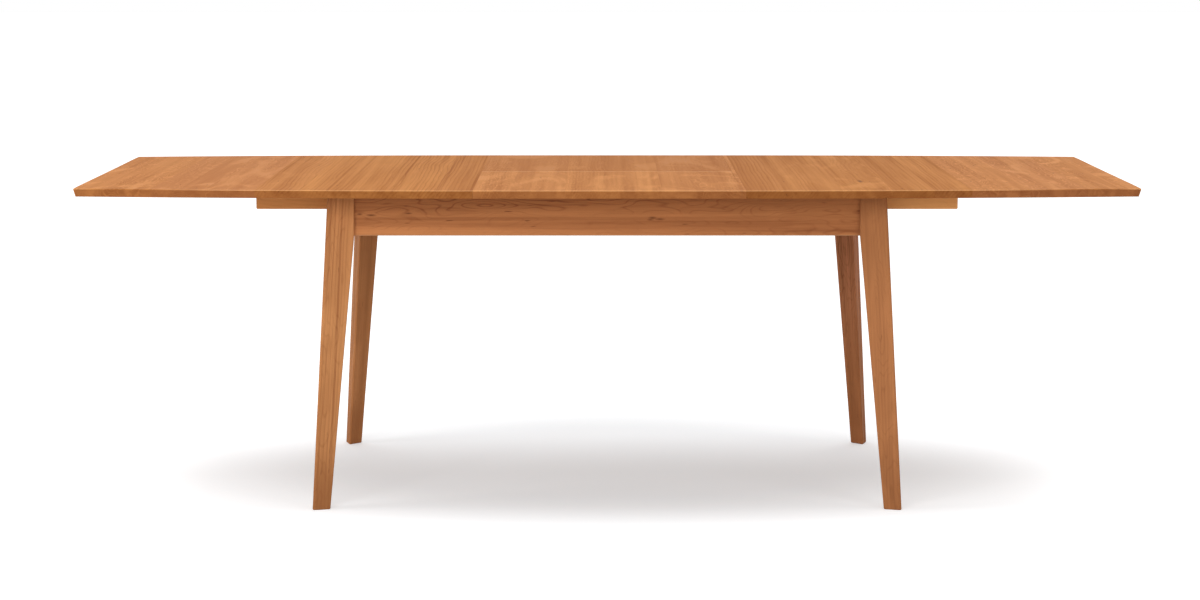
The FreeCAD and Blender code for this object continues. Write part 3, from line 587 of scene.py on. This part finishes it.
def screw_head(shape, seat, out, radius, rise):
    """One domed head with a cross recess, on its seat and looking out."""
    turn = Vector((0, 0, 1)).rotation_difference(Vector(out)).to_matrix()

    def loop_at(points, lift):
        return [shape.verts.new(Vector(seat) + turn @ Vector((a, b, lift))) for a, b in points]

    levels = [loop_at([(a * wide * radius, b * wide * radius) for a, b in circle(SIDES)], high * rise)
              for wide, high in DOME]
    arm, half = radius * CROSS_ARM, radius * CROSS_HALF
    cross = ((arm, -half), (arm, half), (half, half), (half, arm), (-half, arm), (-half, half),
             (-arm, half), (-arm, -half), (-half, -half), (-half, -arm), (half, -arm), (half, -half))
    mouth, bottom = loop_at(cross, rise), loop_at(cross, rise * RECESS_FLOOR)
    for low, high in list(zip(levels, levels[1:])) + [(bottom, mouth)]:
        for i in range(len(low)):
            j = (i + 1) % len(low)
            face = shape.faces.new((low[i], low[j], high[j], high[i]))
            face.smooth = low is not bottom
            face.material_index = int(low is bottom)
    shape.faces.new(bottom).material_index = 1
    rims = [shape.edges.get((loop[i], loop[i - 1])) or shape.edges.new((loop[i], loop[i - 1]))
            for loop in (levels[-1], mouth) for i in range(len(loop))]
    bmesh.ops.triangle_fill(shape, use_beauty=True, edges=rims, normal=Vector(out))


def screws(name, body, slot, made, places, radius, rise):
    """Like screws in one piece. A place is a head's seat and the way it looks out."""
    shape = bmesh.new()
    for seat, out in places:
        screw_head(shape, seat, out, radius, rise)
    fit(name, shape, body, slot, made, recess)


RAIL_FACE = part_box("slide_rail_rear")[0].y
TRACK_SHEET = 0.0015
TRACK_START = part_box("slide_fixed_right")[0].x
TRACK_MIDDLE = (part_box("slide_fixed_right")[0].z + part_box("slide_fixed_right")[1].z) / 2
TRACK_SCREWS, TRACK_SCREW_IN, TRACK_SCREW_PITCH = 3, 0.020, 0.095
track_screw_xs = [TRACK_START + TRACK_SCREW_IN + i * TRACK_SCREW_PITCH for i in range(TRACK_SCREWS)]
screws("track_screws", "base", "zinc_steel", zinc,
       [((sx * x, sy * (RAIL_FACE - TRACK_SHEET), TRACK_MIDDLE), (0, -sy, 0))
        for sx, sy in CORNERS for x in track_screw_xs], radius=0.0038, rise=0.0012)


# ---- leg bolts --------------------------------------------------------------------------------
# Two hanger bolts hold each leg to its corner brace. Their tails stand out past the nuts and show
# a rolled thread, zinc plated as the bolts are.

for node in ("leg_bolts", "leg_washers", "leg_nuts"):
    dress(node, zinc)

BRACE_LOW, BRACE_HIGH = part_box("corner_brace_rear_right")
BRACE_MIDDLE = (BRACE_LOW + BRACE_HIGH) / 2
WASHER_AND_NUT = 0.0081
BOLT_SPACING = 0.020
THREAD_PITCH = 0.00125
THREAD_ROOT, THREAD_CREST = 0.00395, 0.00425
THREAD_TURNS = 4


def bolt_threads():
    """The turns that stand out past the nuts: flat cones from root to crest and back."""
    shape = bmesh.new()
    up = Vector((0, 0, 1))
    for sx, sy in CORNERS:
        out = Vector((-sx, -sy, 0)).normalized()
        across = out.cross(up)
        for height in (BRACE_MIDDLE.z - BOLT_SPACING / 2, BRACE_MIDDLE.z + BOLT_SPACING / 2):
            start = Vector((sx * BRACE_MIDDLE.x, sy * BRACE_MIDDLE.y, height)) + out * WASHER_AND_NUT
            rings = []
            for i in range(2 * THREAD_TURNS + 1):
                radius = THREAD_CREST if i % 2 else THREAD_ROOT
                centre = start + out * (i * THREAD_PITCH / 2)
                rings.append([shape.verts.new(centre + radius * (a * across + b * up))
                              for a, b in circle(SIDES)])
            for low, high in zip(rings, rings[1:]):
                for j in range(SIDES):
                    k = (j + 1) % SIDES
                    shape.faces.new((low[j], low[k], high[k], high[j]))
            for cap in (rings[0], rings[-1]):
                shape.faces.new(cap)
    fit("bolt_threads", shape, "base", "zinc_steel", zinc)


bolt_threads()


# ---- rails, bearers and corner braces ---------------------------------------------------------
# Unseen structure is plain maple, planed and sealed: rails and bearers run with their grain. The
# rails are screwed to the long aprons, and the braces across the corners of the aprons.

MAPLE = dict(Pith_Depth=-0.2, Stripe=0.16, Flame=0.1, Flecks=0.05, Contour=0.1,
             Pale=(0.62, 0.44, 0.25, 1), Deep=(0.44, 0.27, 0.13, 1))
rail_wood = board_wood("rail_wood", ALONG_X, 1.7, **MAPLE)
bearer_wood = board_wood("bearer_wood", ALONG_Y, 4.2, **MAPLE)
for end in ENDS:
    dress("slide_rail_" + end, rail_wood)
for hand in HANDS:
    dress("leaf_bearer_" + hand, bearer_wood)
    for end in ENDS:
        dress(f"corner_brace_{end}_{hand}", rail_wood)

RAIL_SCREW_XS, RAIL_SCREW_UP = (0.060, 0.230, 0.400, 0.545), 0.005
rail_screw_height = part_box("slide_rail_rear")[0].z + RAIL_SCREW_UP
screws("rail_screws", "base", "zinc_steel", zinc,
       [((sx * x, sy * RAIL_FACE, rail_screw_height), (0, -sy, 0))
        for sx, sy in CORNERS for x in RAIL_SCREW_XS], radius=0.0038, rise=0.0016)

BRACE_SCREW_SHARES = (0.14, 0.86)   # of the way along the inner face of a brace
brace_size = BRACE_HIGH - BRACE_LOW
screws("brace_screws", "base", "zinc_steel", zinc,
       [((sx * (BRACE_LOW.x + share * brace_size.x), sy * (BRACE_HIGH.y - share * brace_size.y),
          BRACE_MIDDLE.z), (-sx, -sy, 0))
        for sx, sy in CORNERS for share in BRACE_SCREW_SHARES], radius=0.0042, rise=0.0018)


# ---- leaf arms, tubes and brackets ------------------------------------------------------------
# Flat bar and tube, welded with a bead around each end of a tube and powder coated satin black; the
# pins are turned bright steel. Plates and brackets are held by screws, flush where an arm passes.

black = metal("black_steel", (0.035, 0.035, 0.038), 0.42, 0.0, (400.0, 400.0, 400.0), 0.1)
for end in ENDS:
    dress("swing_tube_" + end, black)
    dress("swing_arms_" + end, black)
for node in ("leaf_brackets", "pivot_brackets"):
    dress(node, black)
bright = metal("bright_pins", (0.68, 0.68, 0.67), 0.25, 1.0, (300.0, 60.0, 60.0))
for node in ("leaf_pins", "pivot_pins"):
    dress(node, bright)

TUBE_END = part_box("swing_tube_front")[1].x
BEAD_RADIUS = 0.0092                # from the middle of the tube to the middle of its bead
BEAD_BACK = 0.0010                  # from the end of the tube back to the middle of its bead
BEAD_THICK, BEAD_RIPPLE, BEAD_RIPPLES = 0.0013, 0.00018, 17
BEAD_STEPS, BEAD_SIDES = 56, 8
BEAD_FLATTER = 0.75                 # width along the tube against thickness


def tube_middle(end):
    low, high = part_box("swing_tube_" + end)
    return (low + high) / 2


def weld_beads(body, middle):
    """A rippled bead around the tube where it meets the arm at either end."""
    shape = bmesh.new()
    for hand in (-1, 1):
        rings = []
        for i in range(BEAD_STEPS):
            turn = i * math.tau / BEAD_STEPS
            thick = BEAD_THICK + BEAD_RIPPLE * math.sin(turn * BEAD_RIPPLES)
            loop = []
            for a, b in circle(BEAD_SIDES):
                away = BEAD_RADIUS + thick * a
                x = hand * (TUBE_END - BEAD_BACK + thick * BEAD_FLATTER * b)
                loop.append(shape.verts.new((x, middle.y + away * math.cos(turn),
                                             middle.z + away * math.sin(turn))))
            rings.append(loop)
        for i in range(BEAD_STEPS):
            before, after = rings[i], rings[(i + 1) % BEAD_STEPS]
            for j in range(BEAD_SIDES):
                k = (j + 1) % BEAD_SIDES
                shape.faces.new((before[j], before[k], after[k], after[j])).smooth = True
    fit(body + "_welds", shape, body, "black_steel", black)


for end in ENDS:
    weld_beads(end + "_swing", tube_middle(end))

PLATE_THICK = 0.003
PLATE_SCREW_OFF = 0.0145            # to either side of the pivot
PLATE_SCREW_INSET = 0.0055          # from the upper and lower edge of a plate
plates_low, plates_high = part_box("pivot_brackets")
plate_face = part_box("leaf_bearer_right")[0].x - PLATE_THICK
plate_screw_heights = (plates_low.z + PLATE_SCREW_INSET, plates_high.z - PLATE_SCREW_INSET)
screws("pivot_plate_screws", "base", "zinc_steel", zinc,
       [((sx * plate_face, tube_middle(end).y + off, height), (-sx, 0, 0)) for sx in (-1, 1)
        for end in ENDS for off in (-PLATE_SCREW_OFF, PLATE_SCREW_OFF) for height in plate_screw_heights],
       radius=0.0034, rise=0.0004)

BRACKET_SHEET, BRACKET_HALF = 0.003, 0.012
BRACKET_SCREW_IN = 0.0182           # from the ear of a bracket in to its screws
BRACKET_SCREW_OFF = 0.0065          # to either side of its pin
brackets_low, brackets_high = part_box("leaf_brackets")
pin_ys = (brackets_low.y + BRACKET_HALF, brackets_high.y - BRACKET_HALF)
screws("leaf_bracket_screws", "leaf_rear_half", "zinc_steel", zinc,
       [((sx * (brackets_high.x - BRACKET_SCREW_IN), y + off, brackets_high.z - BRACKET_SHEET), (0, 0, -1))
        for sx in (-1, 1) for y in pin_ys for off in (-BRACKET_SCREW_OFF, BRACKET_SCREW_OFF)],
       radius=0.0036, rise=0.0016)


# ---- concealed hinges of the leaf -------------------------------------------------------------
# Satin brass cups let into the meeting edges of the leaf halves, with their link plates, and two
# small screws at the back of each cup.

brass = metal("hinge_brass", (0.72, 0.52, 0.24), 0.34)
for node in ("leaf_hinge_cups_front", "leaf_hinge_cups_rear", "leaf_hinge_links"):
    dress(node, brass)

CUP_LENGTH, CUP_WALL = 0.060, 0.0015
CUP_SCREW_OFF = 0.022               # to either side of the middle of a cup
cups_low, cups_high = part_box("leaf_hinge_cups_rear")
hinge_pitch = cups_high.x - CUP_LENGTH / 2
for end, sign in zip(ENDS, (-1, 1)):
    screws(f"hinge_screws_{end}", f"leaf_{end}_half", "hinge_brass", brass,
           [((x + off, sign * (cups_high.y - CUP_WALL), (cups_low.z + cups_high.z) / 2), (0, -sign, 0))
            for x in (-hinge_pitch, 0.0, hinge_pitch) for off in (-CUP_SCREW_OFF, CUP_SCREW_OFF)],
           radius=0.0026, rise=0.0009)


# ---- pads and bumpers -------------------------------------------------------------------------
# Round pads of pressed brown felt stand on the long aprons, under the raised leaf, and round bumpers
# of black rubber stand on the bearers, under the stored one.

FUZZ_SHOWS, FUZZ_ROUGH = (0.2, 0.8), (0.75, 0.95)


def soft(name, dark, pale, scale, bump):
    """A matt finish with a fine fuzz, whose scale is its marks in a metre."""
    made, tree, shader, coords = material(name)
    fuzz = noise(tree, coords["Object"], (scale, scale, scale), 4.0, 0.7)
    tree.links.new(mix(tree, fuzz, dark, pale), shader.inputs["Base Color"])
    tree.links.new(between(tree, fuzz, *FUZZ_SHOWS, *FUZZ_ROUGH), shader.inputs["Roughness"])
    rise = add(tree, "Bump", {"Height": fuzz, "Distance": bump, "Strength": 0.8})
    tree.links.new(rise.outputs[0], shader.inputs["Normal"])
    return made


felt = soft("felt", (0.16, 0.09, 0.05, 1), (0.34, 0.22, 0.13, 1), 1400.0, 0.0004)
rubber = soft("rubber_black", (0.012, 0.012, 0.012, 1), (0.035, 0.035, 0.035, 1), 500.0, 0.0001)
dress("leaf_pads", felt)
dress("stored_leaf_bumpers", rubber)


# ---- studio -----------------------------------------------------------------------------------
# A white floor that glows for the camera and keeps the table's shadow, with a painted shadow where
# its glow dips around the table, one broad soft light overhead, soft lamps in front and at the
# sides, and a pale world.

FLOOR_REACH = 40.0
FLOOR_GREY = 0.62
FLOOR_TINT = (0.97, 1.0, 1.03)
FLOOR_COLOUR = (*(FLOOR_GREY * part for part in FLOOR_TINT), 1)
NEAR_GLOW, FAR_GLOW = 0.35, 0.75
SHADOW_MIDDLE = (0.0, 0.16)
SHADOW_REACH = (1.28, 0.95)
GLOW_START, GLOW_FULL = 0.45, 1.12  # in shadow reaches from its middle
WHITE = (1, 1, 1, 1)


def seen_directly(tree):
    """1 for the camera and for what shows in metal, 0 for the light that falls on the table."""
    path = add(tree, "LightPath").outputs
    mirrored = maths(tree, "MAXIMUM", path["Is Glossy Ray"], path["Is Transmission Ray"])
    return maths(tree, "MAXIMUM", path["Is Camera Ray"], mirrored)


def floor_finish():
    """Glows less in an oval around the table, so that the real shadow shows under a painted one, and is clear
    when seen from below.
    """
    made, tree, shader, coords = material("floor")
    shader.inputs["Base Color"].default_value = FLOOR_COLOUR
    shader.inputs["Roughness"].default_value = 1.0
    shader.inputs["Specular IOR Level"].default_value = 0.0
    shader.inputs["Emission Color"].default_value = WHITE
    ways = apart(tree, coords["Object"])
    away = [maths(tree, "DIVIDE", minus(tree, way, middle), reach)
            for way, middle, reach in zip(ways, SHADOW_MIDDLE, SHADOW_REACH)]
    glow = between(tree, distance(tree, *away, 0.0), GLOW_START, GLOW_FULL, NEAR_GLOW, FAR_GLOW, smooth=True)
    tree.links.new(times(tree, seen_directly(tree), glow), shader.inputs["Emission Strength"])
    below = add(tree, "NewGeometry").outputs["Backfacing"]
    clear = add(tree, "BsdfTransparent").outputs[0]
    both = add(tree, "MixShader", {0: below, 1: shader.outputs[0], 2: clear})
    tree.links.new(both.outputs[0], tree.nodes["Material Output"].inputs["Surface"])
    return made


floor_mesh = bpy.data.meshes.new("floor")
floor_corners = [(x * FLOOR_REACH, y * FLOOR_REACH, 0) for x, y in ((-1, -1), (1, -1), (1, 1), (-1, 1))]
floor_mesh.from_pydata(floor_corners, [], [(0, 1, 2, 3)])
floor_mesh.materials.append(floor_finish())
floor = bpy.data.objects.new("floor", floor_mesh)
bpy.context.collection.objects.link(floor)

WORLD_LIGHT = 0.30
world = bpy.data.worlds.new("studio")
bpy.context.scene.world = world
world.use_nodes = True
air = world.node_tree
back = air.nodes["Background"]
back.inputs["Color"].default_value = WHITE
air.links.new(ranged(air, seen_directly(air), WORLD_LIGHT, 1.0), back.inputs["Strength"])

SUN_LIGHT = 0.48
SUN_TILT = math.radians(14)
SUN_BREADTH = math.radians(42)
sun = bpy.data.lights.new("overhead", "SUN")
sun.energy = SUN_LIGHT * math.pi / math.cos(SUN_TILT)
sun.angle = SUN_BREADTH
sun_holder = bpy.data.objects.new("overhead", sun)
sun_holder.rotation_euler = (-SUN_TILT, 0, 0)
bpy.context.collection.objects.link(sun_holder)


def lamp(name, place, aim, size, power):
    """A soft box that hangs at its place and looks at its aim."""
    light = bpy.data.lights.new(name, "AREA")
    light.shape = "RECTANGLE"
    light.size, light.size_y = size
    light.energy = power
    holder = bpy.data.objects.new(name, light)
    bpy.context.collection.objects.link(holder)
    holder.location = place
    x, y, z = (there - here for there, here in zip(aim, place))
    holder.rotation_euler = (math.atan2(math.hypot(x, y), -z), 0, math.atan2(y, x) - math.pi / 2)


lamp("front_left", (-1.3, -3.8, 1.9), (0, 0, 0.6), (2.4, 1.6), 66.0)
lamp("front_right", (2.4, -3.4, 1.7), (0, 0, 0.6), (1.4, 1.4), 20.0)
lamp("side_left", (-3.4, -0.9, 1.5), (0, 0, 0.5), (1.2, 1.6), 32.0)
lamp("side_right", (3.4, -0.9, 1.5), (0, 0, 0.5), (1.2, 1.6), 14.0)

IMAGE_WIDTH = 1200
FOCAL = 2798.0                      # in pixels of an image of that width
LOOK_DOWN = 0.1049                  # radians
camera = bpy.data.cameras.new("camera")
camera.sensor_width = 36.0
camera.lens = FOCAL / IMAGE_WIDTH * camera.sensor_width
camera.shift_y = -0.06
camera.clip_end = 200.0
viewpoint = bpy.data.objects.new("camera", camera)
viewpoint.location = (-0.0164, -6.810, 1.3274)
viewpoint.rotation_euler = (math.pi / 2 - LOOK_DOWN, 0, 0)
bpy.context.collection.objects.link(viewpoint)
bpy.context.scene.camera = viewpoint
bpy.context.scene.view_settings.view_transform = "Standard"
